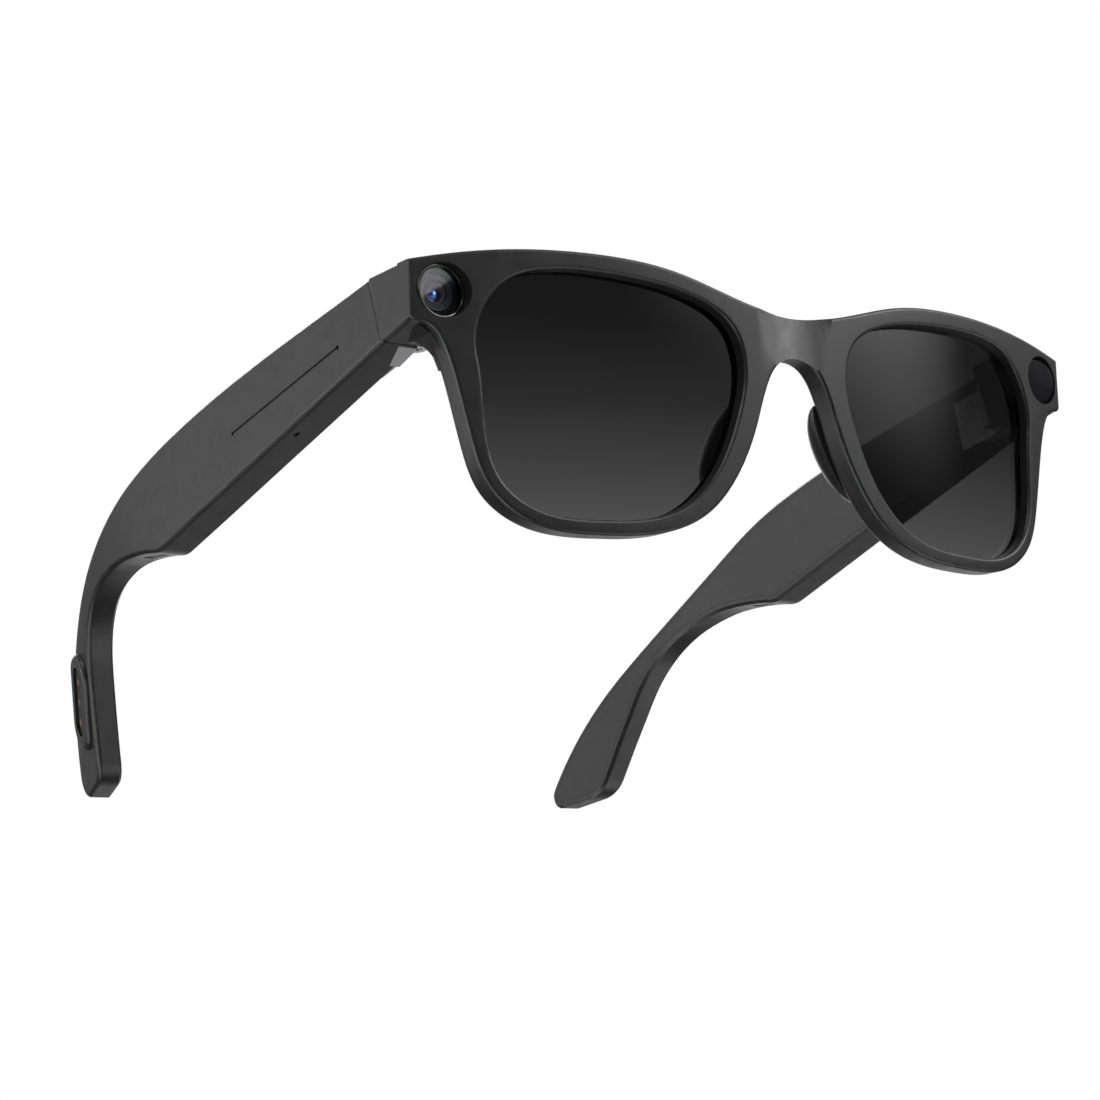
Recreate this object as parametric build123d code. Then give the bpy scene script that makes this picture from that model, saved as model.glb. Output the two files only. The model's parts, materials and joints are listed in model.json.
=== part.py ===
from build123d import *
import math
import os

# Smart glasses: a plastic front with two tinted lenses, a camera in the wearer's right endpiece and an
# indicator window in the left one, and two thick hinged temples that hold the electronics.
#
# Frame: +X is the wearer's left, +Y runs back to the ears, +Z is up. The glasses stand as they would on a
# table, on the bottoms of the rims and on the tips of the ear hooks, and the temples' top edges are level.
# The front is drawn in its own lens plane (x, depth, height) and then leans by LENS_TILT.

# ---------------------------------------------------------------- driving dimensions, millimetres, degrees
LENS_TILT = 11.4            # pantoscopic lean: the front's top edge leans forward
FRONT_RADIUS = 290.0        # wrap of the front's outer surface, seen from above
FRONT_THICKNESS = 5.0
FRONT_HALF_WIDTH = 72.5
WRAP_HALF = 80.0            # half width of the layers that the front is cut from
ENDPIECE_TOP = 20.2         # heights in the lens plane, zero at the middle of the lenses
ENDPIECE_BOTTOM = 10.1
LENS_RECESS = 2.3
LENS_THICKNESS = 1.8
LENS_GROOVE = 0.7           # how far the lens edge goes into the rim
FIT_GAP = 0.05              # clearance between pieces that are glued or clipped together

BORE_X = 66.8               # centre of the camera and indicator bores
BORE_HEIGHT = 15.4
BORE_RADIUS = 4.6
WINDOW_DEPTH = 8.7          # depth of the camera's and indicator's faces in the lens plane
CAMERA_BORE_DEPTH = 14.4
INDICATOR_BORE_DEPTH = 12.4

REST_LEVEL = -22.4          # the surface that the rims and tips stand on
JOINT_BOTTOM = (15.55, 11.6)   # (y, z) of the line where the endpiece meets the temple
JOINT_TOP = (17.5, 24.0)
JOINT_GAP = 0.25

HINGE_X = 64.3
HINGE_Y = 17.7
HINGE_Z = 16.9
HINGE_LEAN = 4.0            # the hinge axis leans forward by this at the top
KNUCKLE_RADIUS = 1.6
KNUCKLE_HEIGHT = 2.5
KNUCKLE_MIDDLE = 4.0
KNUCKLE_GAP = 0.08
PIN_RADIUS = 0.7
PIN_CLEARANCE = 0.03
SCREW_HEAD_RADIUS = 1.15
SCREW_HEAD_HEIGHT = 0.6
BARREL_ROOM = 0.3           # room around the knuckles

OUTER_WALL = 1.4            # of the temple shells
OUTER_ROUND = 0.9           # rounding of the temple's outer edges
INNER_BEVEL = 0.6           # bevel of its inner edges
PLAN_TILT = -33.6           # the temple's bends are drawn in a plan tipped by this, square to its hook
COVER_INSET = 1.5           # parting line of the inner cover, in from the temple's edge
COVER_THICK = 1.0
COVER_START = 28.4
CAVITY_START = 29.6

BUTTON_Y = 36.0
BUTTON_LENGTH = 10.0
BUTTON_WIDTH = 2.8
BUTTON_TRAVEL = 0.35
BUTTON_X = 69.5
BUTTON_TOP = 24.8
BUTTON_FLANGE_TOP = 21.1

PORT_Y = 147.3              # middle of the charging pad
PORT_Z = -7.0
PORT_ANGLE = -51.8
PORT_HEIGHT = 1.1           # how far the charging pad stands off the temple
PORT_FLOOR = -1.0
CONTACT_STEPS = (-4.2, 0.0, 4.2)

MIC_Y = 47.0
MIC_Z = 8.4

os.makedirs("parts", exist_ok=True)
NODES = {}


def keep(name, shape):
    NODES[name] = shape


def mirrored(shape):
    return mirror(shape, about=Plane.YZ)


def lean(shape):
    """From the lens plane to the standing frame."""
    return Rot(X=LENS_TILT) * shape


def solid_between(face, start, end):
    """A lens-plane face, drawn in X and Z, swept in depth from start to end."""
    return Pos(0, start, 0) * extrude(face, amount=end - start, dir=(0, 1, 0))


def side_prism(points, low_x, high_x):
    """A (y, z) polygon swept along X."""
    face = make_face(Polyline(*[(low_x, y, z) for y, z in points], close=True))
    return extrude(face, amount=high_x - low_x, dir=(1, 0, 0))


def upright_cylinder(radius, x, y, low, high):
    return Pos(x, y, (low + high) / 2) * Cylinder(radius, high - low)


def depth_cylinder(radius, x, height, start, end):
    """A cylinder along the lens plane's depth."""
    return Pos(x, (start + end) / 2, height) * Rot(X=90) * Cylinder(radius, end - start)


def rounded(shape, edges, radius):
    """Fillets what it can: a radius that the shape refuses is tried again smaller."""
    for factor in (1.0, 0.8, 0.6, 0.4):
        try:
            result = fillet(edges, radius * factor)
            if result.is_valid:
                return result
        except (ValueError, RuntimeError):
            continue
    return shape


# ---------------------------------------------------------------- the front

TOP_LINE = [(0, 17.4), (11, 18.9), (24, 22.4), (40, 23.9), (56, 23.15), (FRONT_HALF_WIDTH, ENDPIECE_TOP)]
RIM_LINE = [
    (71.4, ENDPIECE_BOTTOM), (70.0, 9.8), (68.5, 8.8), (66.6, 5.6), (64.7, -0.8), (62.6, -9.6), (59.6, -17.0),
    (53.5, -21.7), (40.0, -23.45), (28.5, -22.3), (20.3, -18.8), (13.8, -11.9), (9.3, -3.0),
    (6.4, 5.0), (4.0, 8.6), (0, 10.1),
]
LENS_LINE = [
    (61.2, 4.5), (60.2, 12.5), (56.0, 17.9), (47.0, 20.55), (34.0, 20.45), (20.5, 18.2), (13.2, 13.7),
    (11.4, 7.6), (13.2, -1.5), (17.6, -10.8), (25.3, -18.0), (40.5, -20.9), (52.0, -19.6), (57.6, -15.5),
    (60.2, -7.0),
]


def upright(points):
    return [(x, 0, z) for x, z in points]


def across(points):
    """A line from the +X end to the -X end, through the mirror image of its points."""
    return upright(points + [(-x, z) for x, z in reversed(points[:-1])])


def front_face():
    top = Spline(*across(TOP_LINE[::-1]))
    rim = Spline(*across(RIM_LINE))
    ends = []
    for side in (1, -1):
        crease_end = (side * FRONT_HALF_WIDTH, 0, ENDPIECE_BOTTOM + 1.1)
        ends.append(Line((side * FRONT_HALF_WIDTH, 0, ENDPIECE_TOP), crease_end))
        rim_end = (side * RIM_LINE[0][0], 0, RIM_LINE[0][1])
        ends.append(Spline(crease_end, rim_end, tangents=((0, 0, -1), (-side, 0, -0.05))))
    return make_face([top, ends[0], ends[1], rim, ends[3], ends[2]])


def lens_face(grow=0.0):
    """The lens opening's outline as a face, its edge moved outward by grow."""
    outline = Spline(*upright(LENS_LINE), periodic=True)
    if grow:
        points = []
        for i in range(24):
            along = outline % (i / 24)
            points.append(outline @ (i / 24) + Vector(along.Z, 0, -along.X) * grow)
        outline = Spline(*points, periodic=True)
    return make_face([outline])


def wrap_arc(depth):
    """The wrapped surface at a depth, seen from above, as an arc that runs past both endpieces."""
    radius = FRONT_RADIUS - depth
    return ThreePointArc(
        (-WRAP_HALF, FRONT_RADIUS - math.sqrt(radius**2 - WRAP_HALF**2)),
        (0, depth),
        (WRAP_HALF, FRONT_RADIUS - math.sqrt(radius**2 - WRAP_HALF**2)),
    )


def wrap_layer(start, end):
    """Everything between two depths of the front's wrapped surface."""
    front, rear = wrap_arc(start), wrap_arc(end)
    face = make_face([front, Line(front @ 1, rear @ 1), rear, Line(rear @ 0, front @ 0)])
    return Pos(0, 0, -WRAP_HALF) * extrude(face, amount=2 * WRAP_HALF)


def wrapped_depth(x):
    return FRONT_RADIUS - math.sqrt(FRONT_RADIUS**2 - x**2)


def lens_solid(grow=0.0, slack=0.0):
    slab = solid_between(lens_face(grow), -4, 26)
    return slab & wrap_layer(LENS_RECESS - slack, LENS_RECESS + LENS_THICKNESS + slack)


def endpiece_block():
    """The block that carries the front back to the temple, on the +X side, in the standing frame."""
    inner_x = 61.5
    start = wrapped_depth(FRONT_HALF_WIDTH) + 0.5
    front_end = [
        (inner_x, start, 22.0), (FRONT_HALF_WIDTH, start, ENDPIECE_TOP - 0.1),
        (FRONT_HALF_WIDTH, start, ENDPIECE_BOTTOM + 0.2), (inner_x, start, ENDPIECE_BOTTOM + 0.2),
    ]
    front_face_of_block = lean(make_face(Polyline(*front_end, close=True)))
    rear_end = [
        (inner_x, JOINT_TOP[0], JOINT_TOP[1]), (FRONT_HALF_WIDTH, JOINT_TOP[0], JOINT_TOP[1]),
        (FRONT_HALF_WIDTH, JOINT_BOTTOM[0], JOINT_BOTTOM[1]), (inner_x, JOINT_BOTTOM[0], JOINT_BOTTOM[1]),
    ]
    rear_face_of_block = make_face(Polyline(*rear_end, close=True))
    block = loft([front_face_of_block, rear_face_of_block], ruled=True)
    low_edges = [e for e in block.edges() if (e @ 0.5).Z < 12.2 and (e @ 0.5).X > 72.4 and 3 < e.length < 12]
    block = rounded(block, low_edges, 0.9)
    top_edges = [e for e in block.edges() if (e @ 0.5).Z > 21.5 and (e @ 0.5).X > 72.4 and 3 < e.length < 20]
    block = rounded(block, top_edges, 0.6)
    return block


def endpiece_gusset():
    """The hollow-curved web under the endpiece, behind the rim."""
    web = side_prism([(8, 4), (15.2, 4), (15.2, 12.2), (8, 12.2)], 61.6, FRONT_HALF_WIDTH)
    web = web - Pos(66, 15.5, 7.4) * Rot(Y=90) * Cylinder(4.25, 60)
    web = web - side_prism([(11.3, 2), (16, 2), (16, 7.4), (11.25, 7.4)], 50, 90)
    outline = [(71.2, 10.8), (70.0, 9.5), (68.3, 8.5), (66.3, 5.4), (65.6, 3.0), (61.9, 3.0), (61.9, 10.8)]
    return web & lean(solid_between(make_face(Polyline(*upright(outline), close=True)), 0, 30))


def depth_below_surface(edge):
    point = edge @ 0.5
    return point.Y - wrapped_depth(point.X)


def is_front(edge):
    return abs(depth_below_surface(edge)) < 0.1


def is_rear(edge):
    point = edge @ 0.5
    return abs(math.hypot(point.X, point.Y - FRONT_RADIUS) - FRONT_RADIUS + FRONT_THICKNESS) < 0.1


def is_lip(edge):
    point = edge @ 0.5
    inside = 10 < abs(point.X) < 61.5 and -21.2 < point.Z < 21.2 and 90 < edge.length < 200
    return inside and (is_front(edge) or is_rear(edge))


def front_plate():
    """The wrapped plate with its lens openings, edges rounded, in the lens plane."""
    plate = solid_between(front_face(), -6, 26) & wrap_layer(0, FRONT_THICKNESS)
    plate = rounded(plate, [e for e in plate.edges() if e.length > 60 and is_rear(e)], 1.4)
    plate = rounded(plate, [e for e in plate.edges() if e.length > 60 and is_front(e)], 0.6)
    opening = solid_between(lens_face(), -6, 26)
    plate = plate - opening - mirrored(opening)
    return rounded(plate, [e for e in plate.edges() if is_lip(e)], 0.6)


def bridge_scoop():
    """The shallow hollow in the front of the bridge, deeper and wider at the top."""
    radius = 30.0
    return Pos(0, 0.85 - radius, 13.7) * Rot(X=-5.6) * Cylinder(radius, 24)


def bore(depth):
    """Bore for one module, on the +X side, with the cable's way out to the hinge joint."""
    hole = depth_cylinder(BORE_RADIUS, BORE_X, BORE_HEIGHT, -2, depth)
    slot = Pos(69.6, 17.0, BORE_HEIGHT) * Box(1.2, 10.0, 5.0)
    return hole + slot


def brow_strip(width, height, depth):
    """A strip above the lenses, from bore to bore, that follows the top line."""
    line = [(x, z - 1.3) for x, z in TOP_LINE[:-1]] + [(61.0, 20.9), (64.3, 19.2)]
    above = Spline(*across([(x, z + height / 2) for x, z in line[::-1]]))
    below = Spline(*across([(x, z - height / 2) for x, z in line[::-1]]))
    face = make_face([above, Line(above @ 1, below @ 1), below, Line(below @ 0, above @ 0)])
    return solid_between(face, -6, 26) & wrap_layer(depth - width / 2, depth + width / 2)


def nose_pad():
    """The +X nose pad: a long soft lobe glued behind the rim beside the bridge, in the lens plane."""
    lobe = scale(Sphere(1), by=(2.6, 5.3, 9.6))
    lobe = Pos(12.6, 5.0, -4.6) * Rot(Y=-29.5) * lobe
    return lobe - wrap_layer(-20, FRONT_THICKNESS + 0.02)


# ---------------------------------------------------------------- hinges

def hinge_place(shape):
    """From the hinge's own frame, axis along Z, to the +X hinge's place."""
    return Pos(HINGE_X, HINGE_Y, HINGE_Z) * Rot(X=HINGE_LEAN) * shape


KNUCKLE_LOW = KNUCKLE_MIDDLE / 2 + KNUCKLE_GAP
KNUCKLE_END = KNUCKLE_LOW + KNUCKLE_HEIGHT


def pin_hole():
    hole = Cylinder(PIN_RADIUS + PIN_CLEARANCE, 30)
    head = upright_cylinder(SCREW_HEAD_RADIUS + PIN_CLEARANCE, 0, 0, KNUCKLE_END - SCREW_HEAD_HEIGHT, KNUCKLE_END + 2)
    return hole + head


def front_leaf(grow=0.0):
    """Two knuckles on a plate that is let into the endpiece's rear face."""
    height = 2 * (KNUCKLE_END + grow)
    leaf = Pos(0.6, -3.6, 0) * Box(3.6 + 2 * grow, 1.0 + 2 * grow, height)
    arm = Pos(0, -1.8, 0) * Box(1.7 + 2 * grow, 3.2, height)
    return leaf + arm + Cylinder(KNUCKLE_RADIUS, height)


def front_hinge():
    middle = Cylinder(KNUCKLE_RADIUS + BARREL_ROOM, 2 * KNUCKLE_LOW)
    neck = Pos(0, -1.2, 0) * Box(3, 1.6, 2 * KNUCKLE_LOW)
    return front_leaf() - pin_hole() - middle - neck


def barrel_room():
    """The round notch that both the endpiece and the temple leave for the knuckles."""
    return Cylinder(KNUCKLE_RADIUS + BARREL_ROOM, 2 * (KNUCKLE_END + BARREL_ROOM))


def temple_leaf(grow=0.0):
    """The leaf that wraps the temple's lower inner front corner, in the standing frame."""
    side = Pos(66.05, 23.9, 16.2) * Box(1.1 + 2 * grow, 7.6 + 2 * grow, 9.8 + 2 * grow)
    outline = [(65.5, 16.4), (69.1, 16.4), (67.4, 22.4), (65.5, 22.4)]
    foot = extrude(make_face(Polyline(*outline, close=True)), amount=2.4)
    if grow:
        foot = offset(foot, amount=grow, kind=Kind.INTERSECTION)
    foot = Pos(0, 0, TEMPLE_BOTTOM_FRONT[1] - 1.2) * foot
    return side + foot


def temple_hinge():
    arm = Pos(1.35, 1.3, 0) * Box(1.9, 2.6, KNUCKLE_MIDDLE)
    reach = Pos(2.2, 2.9, 0) * Box(1.1, 2.4, KNUCKLE_MIDDLE)
    barrel = hinge_place((Cylinder(KNUCKLE_RADIUS, KNUCKLE_MIDDLE) + arm) - pin_hole())
    leaf = (temple_leaf() & temple_profile_prism()) - hinge_place(barrel_room())
    return leaf + barrel


def hinge_screw():
    pin = upright_cylinder(PIN_RADIUS, 0, 0, 0.2 - KNUCKLE_END, KNUCKLE_END)
    head = upright_cylinder(SCREW_HEAD_RADIUS, 0, 0, KNUCKLE_END - SCREW_HEAD_HEIGHT, KNUCKLE_END)
    slot = Pos(0, 0, KNUCKLE_END) * Box(0.35, 3, 0.5)
    return pin + head - slot


# ---------------------------------------------------------------- temples, on the +X side

TEMPLE_BOTTOM_FRONT = (JOINT_BOTTOM[0] + JOINT_GAP, JOINT_BOTTOM[1])
TEMPLE_TOP_FRONT = (JOINT_TOP[0] + JOINT_GAP, JOINT_TOP[1])
TEMPLE_TOP = [
    TEMPLE_TOP_FRONT, (50, 24.65), (78, 24.1), (97, 21.9), (112, 17.9), (126, 12.6), (138, 6.6), (149, -0.6),
    (158, -9.5), (163.1, -17.0),
]
HOOK_TIP = [(163.3, -20.5), (160.2, REST_LEVEL)]
HOOK_HEEL = [(152.7, REST_LEVEL), (149.67, -21.58), (147.45, -19.35)]
HOOK_FRONT = [
    (147.45, -19.35), (143.3, -12), (140, -6.5), (136.4, -1), (131.5, 3.6), (124.5, 6.9), (117.5, 8.0),
    (111, 8.0), (104.5, 7.0), (97.5, 5.2), (94.62, 4.24),
]
STEP_CORNER = [(92.97, 3.88), (91.28, 3.87)]
ARM_CAVITY = [
    (CAVITY_START, 12.6), (86, 6.8), (93, 6.6), (97.5, 7.7), (104.5, 9.4), (111, 10.4), (118, 10.4), (118, 12.4),
    (112, 14.6), (97, 18.7), (78, 21.0), (50, 21.6), (CAVITY_START, 21.2),
]
HOOK_CAVITY = [
    (144, -6.5), (149.5, -4.5), (156, -11), (159.5, -16.3), (157, -19.5), (152, -19.5), (149, -17), (146, -12),
]
OUTER_LINE = [
    (-10, 71.72), (20, 73.24), (50, 74.75), (68, 75.65), (78, 75.95), (88, 75.35), (98, 73.9), (121, 68.2),
    (144, 61.3), (170, 53.2),
]
TEMPLE_THICKNESS_LINE = [7.0, 7.0, 7.0, 7.0, 6.8, 6.4, 6.0, 5.5, 5.1, 4.8]


def inward(curve, t, inset):
    """A point of a (y, z) curve, moved to its inner side."""
    along = curve % t
    return curve @ t + Vector(0, along.Z, -along.Y) * inset


def side_points(points):
    return [(0, y, z) for y, z in points]


def temple_profile(inset=0.0):
    """The temple seen from its side, as a face at x = 0, every edge moved inward by inset."""
    top = Spline(*side_points(TEMPLE_TOP))
    tip = ThreePointArc(top @ 1, *side_points(HOOK_TIP))
    heel = ThreePointArc(*side_points(HOOK_HEEL))
    under = Spline(*side_points(HOOK_FRONT))
    corner = ThreePointArc(under @ 1, *side_points(STEP_CORNER))
    front_low = Vector(0, *TEMPLE_BOTTOM_FRONT) + Vector(0, 0, inset)
    if inset:
        top = Spline(*[inward(top, i / 12, inset) for i in range(13)])
        tip = ThreePointArc(top @ 1, inward(tip, 0.5, inset), inward(tip, 1, inset))
        heel = ThreePointArc(*[inward(heel, t, inset) for t in (0, 0.5, 1)])
        under = Spline(heel @ 1, *[inward(under, i / 16, inset) for i in range(1, 17)])
        corner = ThreePointArc(under @ 1, inward(corner, 0.5, inset), inward(corner, 1, inset))
    foot = Line(tip @ 1, heel @ 0)
    belly = Line(corner @ 1, front_low)
    return make_face([top, tip, foot, heel, under, corner, belly, Line(front_low, top @ 0)])


def temple_profile_prism(inset=0.0):
    return Pos(40, 0, 0) * extrude(temple_profile(inset), amount=60, dir=(1, 0, 0))


def plan_slab(inner, outer):
    """Between two surfaces that follow the temple's bends: (0, d) is d outside the inner face, (1, d) is d
    outside the outer face."""
    lines = []
    for base, shift in (inner, outer):
        points = [(x - (1 - base) * t + shift, u) for (u, x), t in zip(OUTER_LINE, TEMPLE_THICKNESS_LINE)]
        lines.append(Spline(*points))
    low = Line(lines[0] @ 0, lines[1] @ 0)
    high = Line(lines[0] @ 1, lines[1] @ 1)
    face = make_face([*lines, low, high])
    return Rot(X=PLAN_TILT) * (Pos(0, 0, -90) * extrude(face, amount=220))


def cover_prism(slack=0.0):
    """The outline of the inner cover, grown by slack."""
    behind_start = Pos(70, COVER_START - slack + 100, 0) * Box(80, 200, 200)
    return temple_profile_prism(COVER_INSET - slack) & behind_start


def pill_prism(length, width, y, z, angle):
    """A rounded bar seen from the temple's side, swept along X."""
    flat = SlotOverall(length, width)
    upright_face = Plane(origin=(40, 0, 0), x_dir=(0, 1, 0), z_dir=(1, 0, 0)) * flat
    return Pos(0, y, z) * Rot(X=angle) * extrude(upright_face, amount=60, dir=(1, 0, 0))


def bar_prism(length, width, y, z, angle=0.0):
    return Pos(70, y, z) * Rot(X=angle) * Box(60, length, width)


def long_edges(shape, side):
    """The long edges of the temple's outer (1) or inner (0) face."""
    found = []
    for e in shape.edges():
        point = e @ 0.5
        u = point.Y * math.cos(math.radians(PLAN_TILT)) + point.Z * math.sin(math.radians(PLAN_TILT))
        middle = 0.0505 * (u - 74) + 72.45 if u < 74 else 72.45 - 0.0035 * (u - 74) ** 2
        if u > 98:
            middle = 70.9 - 0.3 * (u - 98)
        if e.length > 3 and (point.X > middle) == (side == 1) and abs(e.tangent_at(0.5).X) < 0.5:
            found.append(e)
    return found


def temple_body():
    body = temple_profile_prism() & plan_slab((0, 0), (1, 0))
    body = rounded(body, long_edges(body, 1), OUTER_ROUND)
    return chamfer(long_edges(body, 0), INNER_BEVEL)


COVER_SLAB = ((0, 0), (0, COVER_THICK))
REBATE_SLAB = ((0, -1), (0, COVER_THICK + FIT_GAP))
CAVITY_SLAB = ((0, 0.5), (1, -OUTER_WALL))
SPEAKER_SLOT = Pos(72.4, 100, 6) * Rot(X=14.4)


def temple_shell():
    shell = temple_body()
    shell = shell - (cover_prism(FIT_GAP) & plan_slab(*REBATE_SLAB))
    for outline in (ARM_CAVITY, HOOK_CAVITY):
        shell = shell - (side_prism(outline, 40, 100) & plan_slab(*CAVITY_SLAB))
    shell = shell - hinge_place(barrel_room())
    shell = shell - temple_leaf(FIT_GAP)
    shell = shell - hinge_place(Pos(1.3, 1.4, 0) * Box(2.4, 3.2, KNUCKLE_MIDDLE + 0.4))
    return shell - SPEAKER_SLOT * Box(2.0, 7.0, 9.0)


def temple_cover():
    return cover_prism() & plan_slab(*COVER_SLAB)


def board(chips):
    """A circuit board along the straight of the temple, with its components."""
    outline = side_prism([(43, 20.0), (43, 12.6), (62, 10.8), (62, 20.0)], 40, 100)
    plate = outline & plan_slab((0, 1.6), (0, 2.4))
    for y, z, length, height, thick in chips:
        plate = plate + (bar_prism(length, height, y, z) & plan_slab((0, 2.3), (0, 2.4 + thick)))
    return plate


def speaker():
    box = bar_prism(9.5, 6.5, 91.5, 12.5) & plan_slab((0, 1.5), (1, -OUTER_WALL - 0.4))
    port = bar_prism(3.0, 2.4, 97.5, 10.8, 20) & plan_slab((0, 2.2), (1, -OUTER_WALL - 1.1))
    return box + port


def speaker_grille():
    plate = Box(1.9, 6.9, 0.4)
    for step in range(6):
        for side in (-0.45, 0.45):
            plate = plate - Pos(side, -2.75 + 1.1 * step, 0) * Box(0.45, 0.5, 2)
    return SPEAKER_SLOT * Pos(0, 0, 0.2) * plate


def battery():
    cell = side_prism([(64, 9.9), (84, 7.9), (84, 19.3), (64, 20.4)], 40, 100)
    return cell & plan_slab((0, 1.6), (1, -OUTER_WALL - 0.8))


def antenna():
    return bar_prism(26, 5.0, 60, 15.4, -2) & plan_slab((1, -OUTER_WALL - 0.3), (1, -OUTER_WALL - 0.1))


# ---------------------------------------------------------------- pieces of the wearer's right temple only

def port_pad():
    pad = pill_prism(19.5, 9.0, PORT_Y, PORT_Z, PORT_ANGLE) & plan_slab((1, -0.6), (1, PORT_HEIGHT))
    outer_face = max(pad.faces().sort_by(SortBy.AREA)[-2:], key=lambda f: f.center().X)
    return rounded(pad, outer_face.edges(), PORT_HEIGHT - 0.15)


def port_bezel():
    return pill_prism(14, 4.4, PORT_Y, PORT_Z, PORT_ANGLE) & plan_slab((1, PORT_FLOOR), (1, PORT_HEIGHT - 0.35))


def port_recess():
    return pill_prism(14.1, 4.5, PORT_Y, PORT_Z, PORT_ANGLE) & plan_slab((1, PORT_FLOOR - FIT_GAP), (1, 3))


def contact_pins(radius, low, high):
    pins = []
    for step in CONTACT_STEPS:
        y = PORT_Y + step * math.cos(math.radians(PORT_ANGLE))
        z = PORT_Z + step * math.sin(math.radians(PORT_ANGLE))
        pins.append((Pos(70, y, z) * Rot(Y=90) * Cylinder(radius, 60)) & plan_slab((1, low), (1, high)))
    return pins


def button_prism(length, width, low, high):
    return Pos(BUTTON_X, BUTTON_Y, low) * extrude(SlotOverall(length, width, rotation=90), amount=high - low)


def capture_button():
    cap = button_prism(BUTTON_LENGTH, BUTTON_WIDTH, BUTTON_FLANGE_TOP - 0.3, BUTTON_TOP)
    cap = rounded(cap, [e for e in cap.edges() if (e @ 0.5).Z > BUTTON_TOP - 0.01], 0.35)
    return cap + button_prism(BUTTON_LENGTH + 1.0, BUTTON_WIDTH + 0.9, BUTTON_FLANGE_TOP - 0.6, BUTTON_FLANGE_TOP)


def button_switch():
    top = BUTTON_FLANGE_TOP - 0.6 - BUTTON_TRAVEL - 0.02
    dome = upright_cylinder(0.8, BUTTON_X, BUTTON_Y, top - 0.5, top)
    return dome + Pos(BUTTON_X, BUTTON_Y, top - 0.9) * Box(2.2, 4.0, 0.9)


def touch_guide():
    """The shallow guide line on the touch surface."""
    groove = pill_prism(35.2, 0.6, 46.4, 15.7, -1.95) & plan_slab((1, -0.25), (1, 1))
    dot = (Pos(70, 28.8, 16.3) * Rot(Y=90) * Cylinder(0.45, 60)) & plan_slab((1, -0.6), (1, 1))
    return groove + dot


def touch_strip():
    return bar_prism(38, 3.4, 50, 15.6, -2) & plan_slab((1, -OUTER_WALL - 0.35), (1, -OUTER_WALL - 0.1))


def microphone():
    return Pos(71.2, MIC_Y, MIC_Z + 3.1) * Box(2.2, 3.0, 1.0)


def mic_hole():
    return Pos(71.6, MIC_Y, MIC_Z + 1) * extrude(SlotOverall(1.6, 0.7, rotation=90), amount=8, both=True)


def right_temple_shell():
    shell = temple_shell() + port_pad() - port_recess() - touch_guide() - mic_hole()
    return shell - button_prism(BUTTON_LENGTH + 0.1, BUTTON_WIDTH + 0.1, 19.5, 30)


# ---------------------------------------------------------------- assembly

def make_front_frame():
    frame = lean(front_plate() - bridge_scoop())
    block = endpiece_block() + endpiece_gusset()
    frame = frame + block + mirrored(block)
    pocket = hinge_place(front_leaf(FIT_GAP) + barrel_room())
    groove = lean(lens_solid(LENS_GROOVE + FIT_GAP, FIT_GAP))
    for cut in (pocket, groove):
        frame = frame - cut - mirrored(cut)
    frame = frame - lean(mirrored(bore(CAMERA_BORE_DEPTH))) - lean(bore(INDICATOR_BORE_DEPTH))
    return frame - lean(brow_strip(1.4, 0.6, 2.9))


def bore_disc(radius, start, end):
    return depth_cylinder(radius, BORE_X, BORE_HEIGHT, start, end)


def add_camera():
    ring = bore_disc(4.55, WINDOW_DEPTH, WINDOW_DEPTH + 1.5) - bore_disc(4.05, 0, 20)
    ring = rounded(ring, [e for e in ring.edges() if abs((e @ 0.5).Y - WINDOW_DEPTH) < 0.01], 0.15)
    keep("camera_trim_ring", lean(mirrored(ring)))
    keep("camera_window", lean(mirrored(bore_disc(4.0, WINDOW_DEPTH + 0.3, WINDOW_DEPTH + 1.2))))
    barrel = bore_disc(2.9, 10.35, 13.6) - bore_disc(2.2, 10, 10.8) - bore_disc(1.55, 10, 11.8)
    keep("camera_lens_barrel", lean(mirrored(barrel)))
    dome = Pos(BORE_X, 11.0 + 2.4, BORE_HEIGHT) * Sphere(2.4) & bore_disc(1.5, 10.9, 11.75)
    keep("camera_lens_element", lean(mirrored(dome)))
    sensor = Pos(BORE_X, 14.0, BORE_HEIGHT) * Box(6.2, 0.7, 6.2)
    keep("camera_sensor_board", lean(mirrored(sensor)))


def add_indicator():
    disc = bore_disc(4.3, WINDOW_DEPTH + 0.2, WINDOW_DEPTH + 1.7)
    dome = Pos(BORE_X, WINDOW_DEPTH - 0.2 + 20, BORE_HEIGHT) * Sphere(20)
    keep("indicator_window", lean(disc & dome))
    plate = Pos(BORE_X, 12.0, BORE_HEIGHT) * Box(6.0, 0.7, 6.0)
    keep("indicator_led_board", lean(plate + Pos(BORE_X, 11.3, BORE_HEIGHT) * Box(1.6, 0.8, 1.6)))


def add_pair(left_name, right_name, shape):
    keep(left_name, shape)
    keep(right_name, mirrored(shape))


def add_front():
    keep("front_frame", make_front_frame())
    add_pair("left_lens", "right_lens", lean(lens_solid(LENS_GROOVE)))
    add_pair("left_nose_pad", "right_nose_pad", lean(nose_pad()))
    add_pair("left_front_hinge", "right_front_hinge", hinge_place(front_hinge()))
    add_pair("left_hinge_screw", "right_hinge_screw", hinge_place(hinge_screw()))
    keep("front_flex_cable", lean(brow_strip(1.0, 0.2, 2.9)))
    add_camera()
    add_indicator()


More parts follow.
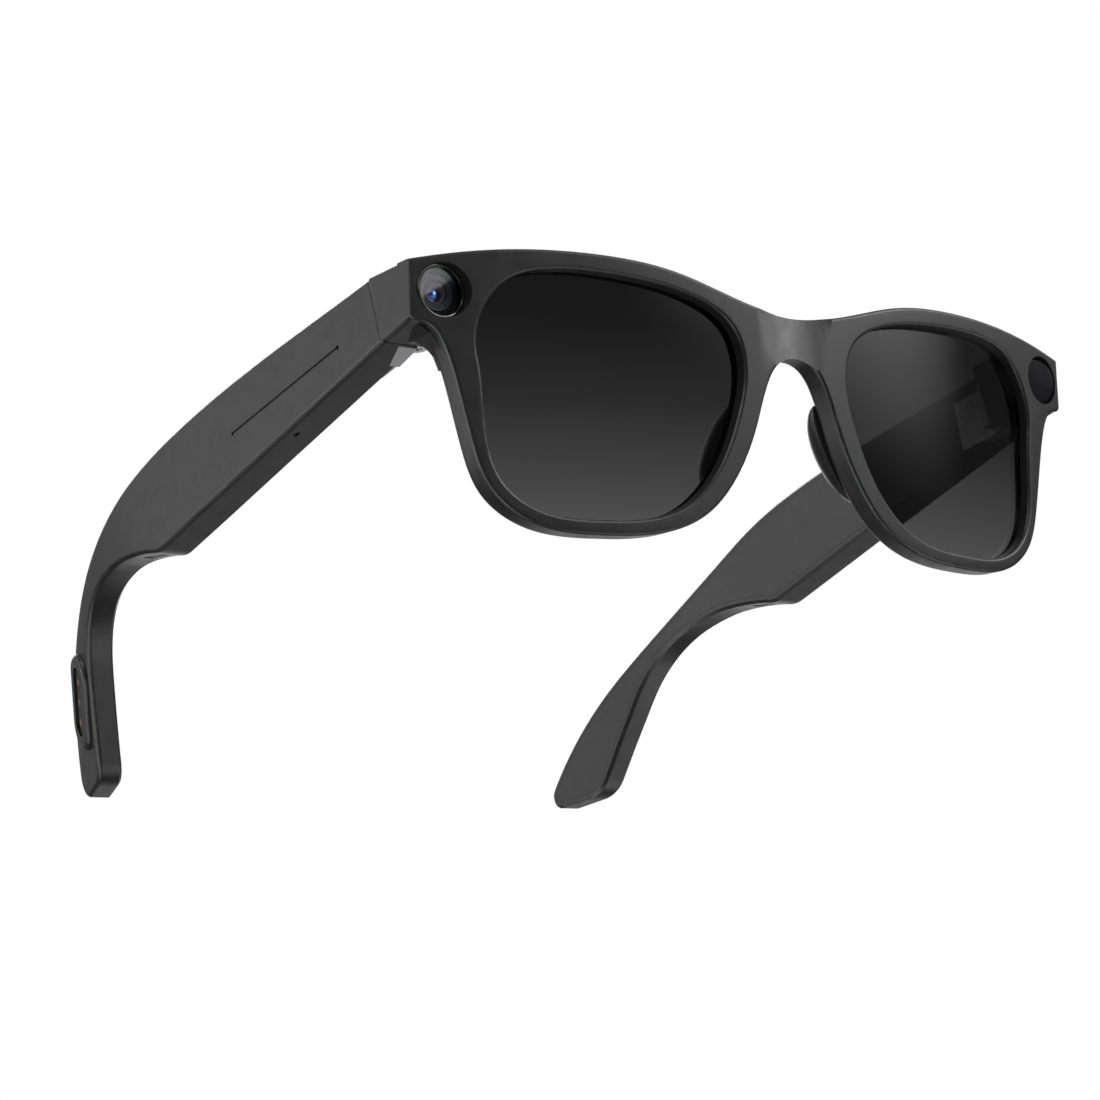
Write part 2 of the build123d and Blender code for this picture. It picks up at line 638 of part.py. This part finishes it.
def add_temples():
    keep("left_temple_shell", temple_shell())
    keep("right_temple_shell", mirrored(right_temple_shell()))
    add_pair("left_temple_cover", "right_temple_cover", temple_cover())
    add_pair("left_temple_hinge", "right_temple_hinge", temple_hinge())
    add_pair("left_battery", "right_battery", battery())
    add_pair("left_speaker", "right_speaker", speaker())
    add_pair("left_speaker_grille", "right_speaker_grille", speaker_grille())
    main_chips = [(48.5, 15.3, 8, 4.5, 1.1), (57.5, 15, 6, 6, 0.9)]
    keep("right_main_board", mirrored(board(main_chips)))
    aux_chips = [(49, 16, 5, 5, 0.9), (57, 15, 6, 4, 0.7)]
    keep("left_charge_board", board(aux_chips))
    keep("left_antenna", antenna())
    keep("right_touch_strip", mirrored(touch_strip()))
    keep("right_microphone", mirrored(microphone()))
    keep("button_switch", mirrored(button_switch()))
    keep("capture_button", mirrored(capture_button()))
    bezel = port_bezel()
    for pin in contact_pins(0.8, -9, 9):
        bezel = bezel - pin
    keep("charging_port_bezel", mirrored(bezel))
    contacts = Compound(contact_pins(0.75, PORT_FLOOR + 0.02, PORT_HEIGHT - 0.3))
    keep("charging_contacts", mirrored(contacts))
    magnet = bar_prism(4.0, 3.0, 150.5, -10.5, PORT_ANGLE) & plan_slab((0, 1.3), (0, 2.2))
    keep("charging_magnet", mirrored(magnet))


add_front()
add_temples()

boxes = [shape.bounding_box() for shape in NODES.values()]
middle_x = (min(b.min.X for b in boxes) + max(b.max.X for b in boxes)) / 2
middle_y = (min(b.min.Y for b in boxes) + max(b.max.Y for b in boxes)) / 2
lowest = min(b.min.Z for b in boxes)

for name, shape in NODES.items():
    export_step(Pos(-middle_x, -middle_y, -lowest) * shape, f"parts/{name}.step")
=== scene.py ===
"""Looks of the smart glasses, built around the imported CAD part."""
import json
import math

import bpy
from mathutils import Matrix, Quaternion, Vector


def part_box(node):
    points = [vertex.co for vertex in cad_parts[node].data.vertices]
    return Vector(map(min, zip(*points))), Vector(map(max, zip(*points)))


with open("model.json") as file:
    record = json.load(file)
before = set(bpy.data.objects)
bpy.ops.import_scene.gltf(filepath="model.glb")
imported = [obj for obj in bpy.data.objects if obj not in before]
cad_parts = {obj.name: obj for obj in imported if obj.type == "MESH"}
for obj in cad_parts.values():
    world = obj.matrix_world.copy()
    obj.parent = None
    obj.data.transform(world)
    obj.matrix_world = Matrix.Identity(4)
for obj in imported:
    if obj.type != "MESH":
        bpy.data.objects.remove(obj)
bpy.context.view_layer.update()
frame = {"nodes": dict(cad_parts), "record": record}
NODES = frame["nodes"]

# The glasses, in metres and radians
LENS_TILT = math.radians(11.4)      # how far the front leans, its top edge forward
ELEMENT_RADIUS = 0.0015             # the camera's front lens element
BARREL_RADIUS = 0.003               # the camera's barrel
PLASTIC_GRAIN = 0.00012             # moulded grain of the satin plastic
SEAM_GAP = 0.000002                 # vertices closer than this are one
SHARP_EDGE = math.radians(24)       # edges that turn by more stay sharp

# The camera: low in front of the wearer's right side and looking up
EYE = Vector((-0.2953, -0.39802, -0.14443))
CAMERA_TURN = (109.327, 8.192, -33.968)         # degrees about x, y and z
SENSOR_WIDTH = 36                               # millimetres, like the focal length
FOCAL_LENGTH = 88.364

# The studio
FLOOR_HEIGHT = -0.32
FLOOR_SIDE = 6
AIM = (0, 0, 0.02)                  # where the lights point
LIGHTS = [                          # name, place, size, watts
    ("key", (-1.0, -0.6, 1.0), (0.7, 0.7), 7),
    ("side", (-1.2, 0.55, -0.12), (0.5, 0.6), 5),
    ("fill", (0.75, -0.95, 0.55), (0.35, 0.25), 1.6),
    ("rim", (0.4, 1.2, 0.8), (1.0, 0.6), 5),
    ("spark", (0.60, -0.62, 0.29), (0.09, 0.05), 0.5),
    ("low_spark", (0.25, -0.95, -0.42), (0.10, 0.06), 0.5),
    ("high_spark", (0.30, -0.80, 0.55), (0.10, 0.06), 0.6),
]
GLOWS = [                           # direction, degrees at which it has faded out, brightness
    ((-0.78, 0.57, 0.25), 34, 1.3),      # on the outer face of the right temple and inside the left one
    ((0.57, 0.75, -0.33), 32, 0.4),      # on the undersides
    ((0.62, -0.38, -0.70), 34, 1.9),     # on the fronts of the ear hooks
    ((0.50, 0.75, 0.35), 38, 1.1),       # behind, on edges that turn away
    ((-0.62, 0.10, -0.78), 40, 2.5),     # below the wearer's right, on the nose pads
]
SOFT_BOXES = [                      # a glow, and the heights between which its lower edge fades
    (((0.644, -0.741, 0.19), 20, 2.4), (0.06, 0.15)),       # mirrored by the lenses and the camera window
    (((0.70, -0.56, 0.45), 32, 2.6), (0.18, 0.34)),         # on the brow
]
CARD_DISTANCE = 0.9                 # from the camera window to the card that it mirrors
CARD_OFFSET = 0.018                 # from the mirrored line of sight to the card's middle
CARD_SIDE = 0.032
CARD_TURN = math.radians(35)
CARD_POWER = 0.066


# ---------------------------------------------------------------- shader nodes

def feed(tree, socket, value):
    """Link a socket to another, or set it to a number, a vector or a colour."""
    if isinstance(value, bpy.types.NodeSocket):
        tree.links.new(value, socket)
    elif socket.type == "RGBA":
        socket.default_value = (*value, 1)
    else:
        socket.default_value = value


def calculate(tree, operation, first, second):
    node = tree.nodes.new("ShaderNodeMath")
    node.operation = operation
    feed(tree, node.inputs[0], first)
    feed(tree, node.inputs[1], second)
    return node.outputs["Value"]


def calculate_vector(tree, operation, first, second=(0, 0, 0)):
    node = tree.nodes.new("ShaderNodeVectorMath")
    node.operation = operation
    feed(tree, node.inputs[0], first)
    feed(tree, node.inputs[1], second)
    return node.outputs["Value" if operation in ("LENGTH", "DOT_PRODUCT") else "Vector"]


def rescaled(tree, value, low, high, top=1.0, curve="LINEAR"):
    """0 where the value is low or less, and top where it is high or more."""
    node = tree.nodes.new("ShaderNodeMapRange")
    node.interpolation_type = curve
    node.inputs["From Min"].default_value = low
    node.inputs["From Max"].default_value = high
    node.inputs["To Max"].default_value = top
    feed(tree, node.inputs["Value"], value)
    return node.outputs["Result"]


def height_of(tree, vector):
    node = tree.nodes.new("ShaderNodeSeparateXYZ")
    feed(tree, node.inputs["Vector"], vector)
    return node.outputs["Z"]


def place(tree):
    """Coordinates fixed to the piece, in metres."""
    return tree.nodes.new("ShaderNodeTexCoord").outputs["Object"]


def direction(tree):
    """The direction in which the world is seen."""
    return tree.nodes.new("ShaderNodeTexCoord").outputs["Generated"]


def noise(tree, scale, detail=2.0, stretch=(1, 1, 1)):
    """A noise whose cells are 1/scale metres across, stretched along an axis where asked."""
    mapping = tree.nodes.new("ShaderNodeMapping")
    feed(tree, mapping.inputs["Scale"], stretch)
    feed(tree, mapping.inputs["Vector"], place(tree))
    texture = tree.nodes.new("ShaderNodeTexNoise")
    texture.inputs["Scale"].default_value = scale
    texture.inputs["Detail"].default_value = detail
    feed(tree, texture.inputs["Vector"], mapping.outputs["Vector"])
    return texture.outputs["Fac"]


def ramp(tree, factor, stops):
    """Colour or grey ramp: stops are (position, value or colour)."""
    node = tree.nodes.new("ShaderNodeValToRGB")
    while len(node.color_ramp.elements) < len(stops):
        node.color_ramp.elements.new(0.5)
    for element, (position, value) in zip(node.color_ramp.elements, stops):
        colour = value if isinstance(value, tuple) else (value, value, value)
        element.position = position
        element.color = (*colour, 1)
    feed(tree, node.inputs["Fac"], factor)
    return node.outputs["Color"]


def varied(tree, factor, low, high, start=0.3, end=0.7):
    """A ramp from low to high over the part of its range that a noise mostly keeps to."""
    return ramp(tree, factor, [(start, low), (end, high)])


def edge_highlight_and_wear_mask(tree):
    """1 on convex edges, which are painted lighter there as a highlight along the edge and as rubbed
    wear; 0 on flats.
    """
    geometry = tree.nodes.new("ShaderNodeNewGeometry")
    return ramp(tree, geometry.outputs["Pointiness"], [(0.5, 0.0), (0.58, 1.0)])


def mixed(tree, mask, low, high):
    node = tree.nodes.new("ShaderNodeMix")
    node.data_type = "RGBA"
    feed(tree, node.inputs["Factor"], mask)
    feed(tree, node.inputs["A"], low)
    feed(tree, node.inputs["B"], high)
    return node.outputs["Result"]


# ---------------------------------------------------------------- materials

SOCKETS = {
    "ior": "IOR",
    "specular": "Specular IOR Level",
    "metallic": "Metallic",
    "transmission": "Transmission Weight",
    "coat": "Coat Weight",
}


def new_material(name, **constants):
    """A material, its node tree and its shader, with the constants set on the shader's own sockets."""
    material = bpy.data.materials.new(name)
    material.use_nodes = True
    shader = material.node_tree.nodes["Principled BSDF"]
    for socket, value in constants.items():
        shader.inputs[SOCKETS[socket]].default_value = value
    return material, material.node_tree, shader


def surface(tree, shader, colour, roughness):
    feed(tree, shader.inputs["Base Color"], colour)
    feed(tree, shader.inputs["Roughness"], roughness)


def bump(tree, shader, height, distance, strength):
    node = tree.nodes.new("ShaderNodeBump")
    node.inputs["Distance"].default_value = distance
    node.inputs["Strength"].default_value = strength
    feed(tree, node.inputs["Height"], height)
    feed(tree, shader.inputs["Normal"], node.outputs["Normal"])


def grey(tone, level, blue):
    """A grey of level times the tone, with its own level of blue."""
    return (tone * level, tone * level, tone * blue)


def satin_plastic(name="satin_plastic", tone=0.009, rough=(0.34, 0.43)):
    material, tree, shader = new_material(name, ior=1.48)
    cloud = varied(tree, noise(tree, 60, 3), grey(tone, 0.9, 0.95), grey(tone, 1.15, 1.22))
    # Convex edges painted lighter: a painted highlight along the edges, and rubbed wear.
    highlit_and_worn = mixed(tree, edge_highlight_and_wear_mask(tree), cloud, grey(tone, 1.6, 1.7))
    surface(tree, shader, highlit_and_worn, varied(tree, noise(tree, 380, 4), *rough))
    bump(tree, shader, noise(tree, 1 / PLASTIC_GRAIN), 0.000004, 0.35)
    return material


def gloss_plastic(tone=0.006):
    material, tree, shader = new_material("gloss_plastic")
    colour = varied(tree, noise(tree, 90), grey(tone, 1, 1), grey(tone, 1.3, 1.5))
    smears = ramp(tree, noise(tree, 500, 5), [(0.35, 0.05), (0.75, 0.13)])
    surface(tree, shader, colour, smears)
    bump(tree, shader, noise(tree, 300), 0.000003, 0.2)
    return material


def tinted_glass():
    """Grey gradient tint: dark along the brow, lighter at the bottom of the rim."""
    material, tree, shader = new_material("tinted_glass", ior=1.45, transmission=1.0)
    low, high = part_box("left_lens")
    height = rescaled(tree, height_of(tree, place(tree)), low.z, high.z)
    tint = ramp(tree, height, [(0.0, 0.085), (0.2, 0.055), (0.5, 0.022), (0.8, 0.008), (1.0, 0.006)])
    surface(tree, shader, tint, varied(tree, noise(tree, 40), 0.02, 0.035))
    return material


def brushed_metal(name, tone, rough):
    material, tree, shader = new_material(name, metallic=1.0)
    brushed = noise(tree, 2500, 3, (1, 0.05, 1))
    colour = varied(tree, brushed, grey(tone, 0.92, 0.94), grey(tone, 1.05, 1.07))
    surface(tree, shader, colour, varied(tree, brushed, *rough))
    bump(tree, shader, brushed, 0.000004, 0.4)
    return material


def coated_glass():
    """The camera's cover window: clear, with little reflection."""
    material, tree, shader = new_material("coated_glass", ior=1.12, transmission=1.0)
    colour = varied(tree, noise(tree, 200), (0.85, 0.88, 0.95), (0.9, 0.92, 1.0))
    surface(tree, shader, colour, varied(tree, noise(tree, 300), 0.0, 0.004))
    return material


def smoked_window():
    """The indicator's domed window: black, with little shine except for a sharp highlight."""
    material, tree, shader = new_material("smoked_window", specular=0.14)
    colour = varied(tree, noise(tree, 250), (0.005, 0.005, 0.006), (0.008, 0.008, 0.010))
    surface(tree, shader, colour, varied(tree, noise(tree, 400), 0.06, 0.1))
    return material


def axis_distance(tree, node, radius):
    """A point's distance from the camera's optical axis through the middle of a node, in radii."""
    low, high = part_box(node)
    offset = calculate_vector(tree, "SUBTRACT", place(tree), (low + high) / 2)
    axis = Vector((0, math.cos(LENS_TILT), math.sin(LENS_TILT))) / radius
    return calculate_vector(tree, "LENGTH", calculate_vector(tree, "CROSS_PRODUCT", offset, axis))


def lens_coating():
    """The camera's front element: dark glass with a blue-violet anti-reflection coating."""
    material, tree, shader = new_material("lens_coating", metallic=0.85, coat=1.0)
    rings = ramp(tree, axis_distance(tree, "camera_lens_element", ELEMENT_RADIUS), [
        (0.0, (0.9, 0.95, 1.0)), (0.12, (0.25, 0.5, 1.0)), (0.42, (0.03, 0.09, 0.3)),
        (0.72, (0.02, 0.03, 0.09)), (0.86, (0.42, 0.2, 0.62)), (0.97, (0.05, 0.03, 0.08))])
    surface(tree, shader, rings, varied(tree, noise(tree, 400), 0.04, 0.07))
    return material


def barrel_ring_highlights():
    """The camera's barrel: black, with thin lighter rings painted on as highlights where its ring steps
    would catch the light.
    """
    material, tree, shader = new_material("barrel_ring_highlights", metallic=0.3, specular=0.2)
    # Thin lighter rings at set radii: painted highlights standing in for the lit edges of ring steps.
    rings = ramp(tree, axis_distance(tree, "camera_lens_barrel", BARREL_RADIUS), [
        (0.0, 0.003), (0.5, 0.003), (0.53, 0.10), (0.57, 0.004), (0.72, 0.004),
        (0.75, 0.06), (0.79, 0.004), (0.90, 0.004), (0.94, 0.10), (1.0, 0.01)])
    surface(tree, shader, rings, varied(tree, noise(tree, 700), 0.3, 0.4))
    return material


def circuit_board():
    material, tree, shader = new_material("circuit_board")
    tracks = noise(tree, 900, 1, (1, 1, 0.25))
    colour = varied(tree, tracks, (0.01, 0.045, 0.03), (0.02, 0.085, 0.055), 0.47, 0.53)
    surface(tree, shader, colour, varied(tree, noise(tree, 700), 0.22, 0.38))
    bump(tree, shader, tracks, 0.00003, 0.4)
    return material


def film(name, low, high):
    """A thin wrap or foil whose grain shows in its colour, gloss and relief."""
    material, tree, shader = new_material(name)
    grain = noise(tree, 500, 3)
    surface(tree, shader, varied(tree, grain, low, high), varied(tree, grain, 0.28, 0.45))
    bump(tree, shader, grain, 0.00002, 0.3)
    return material


def gold():
    material, tree, shader = new_material("contact_gold", metallic=1.0)
    grain = noise(tree, 1500, 3)
    colour = varied(tree, grain, (0.5, 0.34, 0.13), (0.6, 0.43, 0.18))
    surface(tree, shader, colour, varied(tree, grain, 0.2, 0.34))
    bump(tree, shader, grain, 0.000005, 0.3)
    return material


def backdrop():
    """The floor's pale matt paint."""
    material, tree, shader = new_material("floor")
    surface(tree, shader, varied(tree, noise(tree, 2), 0.8, 0.84), 0.7)
    return material


MATERIALS = {
    "frame_plastic": satin_plastic(),
    "nose_pad": satin_plastic("pad_plastic", 0.012, (0.2, 0.27)),
    "tinted_lens": tinted_glass(),
    "hinge_steel": brushed_metal("hinge_steel", 0.62, (0.24, 0.36)),
    "gloss_black": gloss_plastic(),
    "camera_glass": coated_glass(),
    "circuit_board": circuit_board(),
    "component_black": satin_plastic("component_black", 0.02, (0.4, 0.55)),
    "flex_cable": film("flex_cable", (0.28, 0.13, 0.03), (0.42, 0.22, 0.06)),
    "battery_wrap": film("battery_wrap", (0.32, 0.33, 0.35), (0.45, 0.46, 0.48)),
    "speaker_mesh": brushed_metal("speaker_mesh", 0.05, (0.35, 0.5)),
    "contact_gold": gold(),
    "magnet_steel": brushed_metal("magnet_steel", 0.55, (0.12, 0.2)),
}
OWN_MATERIALS = {       # nodes that look different from the rest of their slot
    "camera_lens_element": lens_coating(),
    "camera_lens_barrel": barrel_ring_highlights(),
    "indicator_window": smoked_window(),
}


# ---------------------------------------------------------------- CAD nodes: material and clean shading

def clean_shading():
    """Geometry nodes that weld the CAD faces' seams and smooth all but the sharp edges."""
    group = bpy.data.node_groups.new("clean_shading", "GeometryNodeTree")
    group.interface.new_socket("Geometry", in_out="INPUT", socket_type="NodeSocketGeometry")
    group.interface.new_socket("Geometry", in_out="OUTPUT", socket_type="NodeSocketGeometry")
    nodes, links = group.nodes, group.links
    start = nodes.new("NodeGroupInput")
    weld = nodes.new("GeometryNodeMergeByDistance")
    weld.inputs["Distance"].default_value = SEAM_GAP
    angle = nodes.new("GeometryNodeInputMeshEdgeAngle")
    compare = nodes.new("FunctionNodeCompare")
    compare.operation = "LESS_EQUAL"
    compare.inputs["B"].default_value = SHARP_EDGE
    faces = nodes.new("GeometryNodeSetShadeSmooth")
    faces.domain = "FACE"
    edges = nodes.new("GeometryNodeSetShadeSmooth")
    edges.domain = "EDGE"
    end = nodes.new("NodeGroupOutput")
    links.new(start.outputs[0], weld.inputs["Geometry"])
    links.new(weld.outputs["Geometry"], faces.inputs["Geometry"])
    links.new(faces.outputs["Geometry"], edges.inputs["Geometry"])
    links.new(angle.outputs["Unsigned Angle"], compare.inputs["A"])
    links.new(compare.outputs["Result"], edges.inputs["Shade Smooth"])
    links.new(edges.outputs["Geometry"], end.inputs[0])
    return group


def dress_nodes():
    """Give each CAD node its material and clean shading."""
    shading = clean_shading()
    slots = {subpart["node"]: subpart["material_slot"] for subpart in frame["record"]["subparts"]}
    for name, node in NODES.items():
        node.data.materials.clear()
        node.data.materials.append(OWN_MATERIALS.get(name, MATERIALS[slots[name]]))
        imported_normals = node.data.attributes.get("custom_normal")
        if imported_normals:
            node.data.attributes.remove(imported_normals)
        modifier = node.modifiers.new("shading", "NODES")
        modifier.node_group = shading
        weighted = node.modifiers.new("weighted", "WEIGHTED_NORMAL")
        weighted.keep_sharp = True


# ---------------------------------------------------------------- studio

def area_light(name, spot, aim, size, power, turn=0.0):
    """A rectangular light at a spot, pointed at the aim and turned about its own axis."""
    light = bpy.data.lights.new(name, "AREA")
    light.shape = "RECTANGLE"
    light.size, light.size_y = size
    light.energy = power
    lamp = bpy.data.objects.new(name, light)
    lamp.location = spot
    pointed = (Vector(aim) - Vector(spot)).to_track_quat("-Z", "Y")
    lamp.rotation_euler = (pointed @ Quaternion((0, 0, 1), turn)).to_euler()
    lamp.visible_camera = False
    bpy.context.scene.collection.objects.link(lamp)
    return lamp


def window_card():
    """A small bright card whose edge the flat camera window mirrors across its middle."""
    low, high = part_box("camera_window")
    middle = (low + high) / 2
    facing = Vector((0, -math.cos(LENS_TILT), -math.sin(LENS_TILT)))
    mirrored = (middle - EYE).normalized().reflect(facing)
    across = Vector((0, 0, 1)).cross(mirrored).normalized()
    upward = mirrored.cross(across)
    edgeways = upward * math.cos(CARD_TURN) - across * math.sin(CARD_TURN)
    spot = middle + mirrored * CARD_DISTANCE + edgeways * CARD_OFFSET
    area_light("card", spot, spot - mirrored, (CARD_SIDE, CARD_SIDE), CARD_POWER, CARD_TURN)


def glow(tree, towards, spread, brightness):
    """A soft light patch in the world around a direction, faded out at the angle spread."""
    closeness = calculate_vector(tree, "DOT_PRODUCT", direction(tree), Vector(towards).normalized())
    return rescaled(tree, closeness, math.cos(math.radians(spread)), 1.0, brightness, "SMOOTHSTEP")


def soft_box(tree, patch, lower_edge):
    """A light patch that fades out below its lower edge."""
    edge = rescaled(tree, height_of(tree, direction(tree)), *lower_edge, curve="SMOOTHSTEP")
    return calculate(tree, "MULTIPLY", glow(tree, *patch), edge)


def studio_world():
    """White where it is seen directly or through a lens; a dark room with soft lights in reflections."""
    world = bpy.data.worlds.new("studio")
    world.use_nodes = True
    tree = world.node_tree
    height = rescaled(tree, height_of(tree, direction(tree)), -1, 1)
    light = ramp(tree, height, [(0.0, 0.03), (0.45, 0.05), (0.6, 0.12), (1.0, 0.45)])
    patches = [glow(tree, *patch) for patch in GLOWS] + [soft_box(tree, *box) for box in SOFT_BOXES]
    for patch in patches:
        light = calculate(tree, "ADD", light, patch)
    path = tree.nodes.new("ShaderNodeLightPath").outputs
    bounces = calculate(tree, "ADD", path["Diffuse Depth"], path["Glossy Depth"])
    direct = calculate(tree, "LESS_THAN", bounces, 0.5)
    feed(tree, tree.nodes["Background"].inputs["Color"], mixed(tree, direct, light, (1, 1, 1)))
    bpy.context.scene.world = world


def pale_floor():
    """A plain floor well below the glasses, left out of their reflections."""
    bpy.ops.mesh.primitive_plane_add(size=FLOOR_SIDE, location=(0, 0, FLOOR_HEIGHT))
    floor = bpy.context.object
    floor.name = "floor"
    floor.visible_glossy = False
    floor.data.materials.append(backdrop())


def studio():
    bpy.context.scene.view_settings.view_transform = "Standard"
    studio_world()
    window_card()
    for name, spot, size, power in LIGHTS:
        lamp = area_light(name, spot, AIM, size, power)
        lamp.visible_transmission = spot[1] < 0     # the lenses don't show the lights behind them
    pale_floor()


def add_camera():
    camera = bpy.data.cameras.new("camera")
    camera.sensor_width = SENSOR_WIDTH
    camera.lens = FOCAL_LENGTH
    camera.clip_start = 0.01
    view = bpy.data.objects.new("camera", camera)
    view.location = EYE
    view.rotation_euler = [math.radians(angle) for angle in CAMERA_TURN]
    bpy.context.scene.collection.objects.link(view)
    bpy.context.scene.camera = view


dress_nodes()
studio()
add_camera()
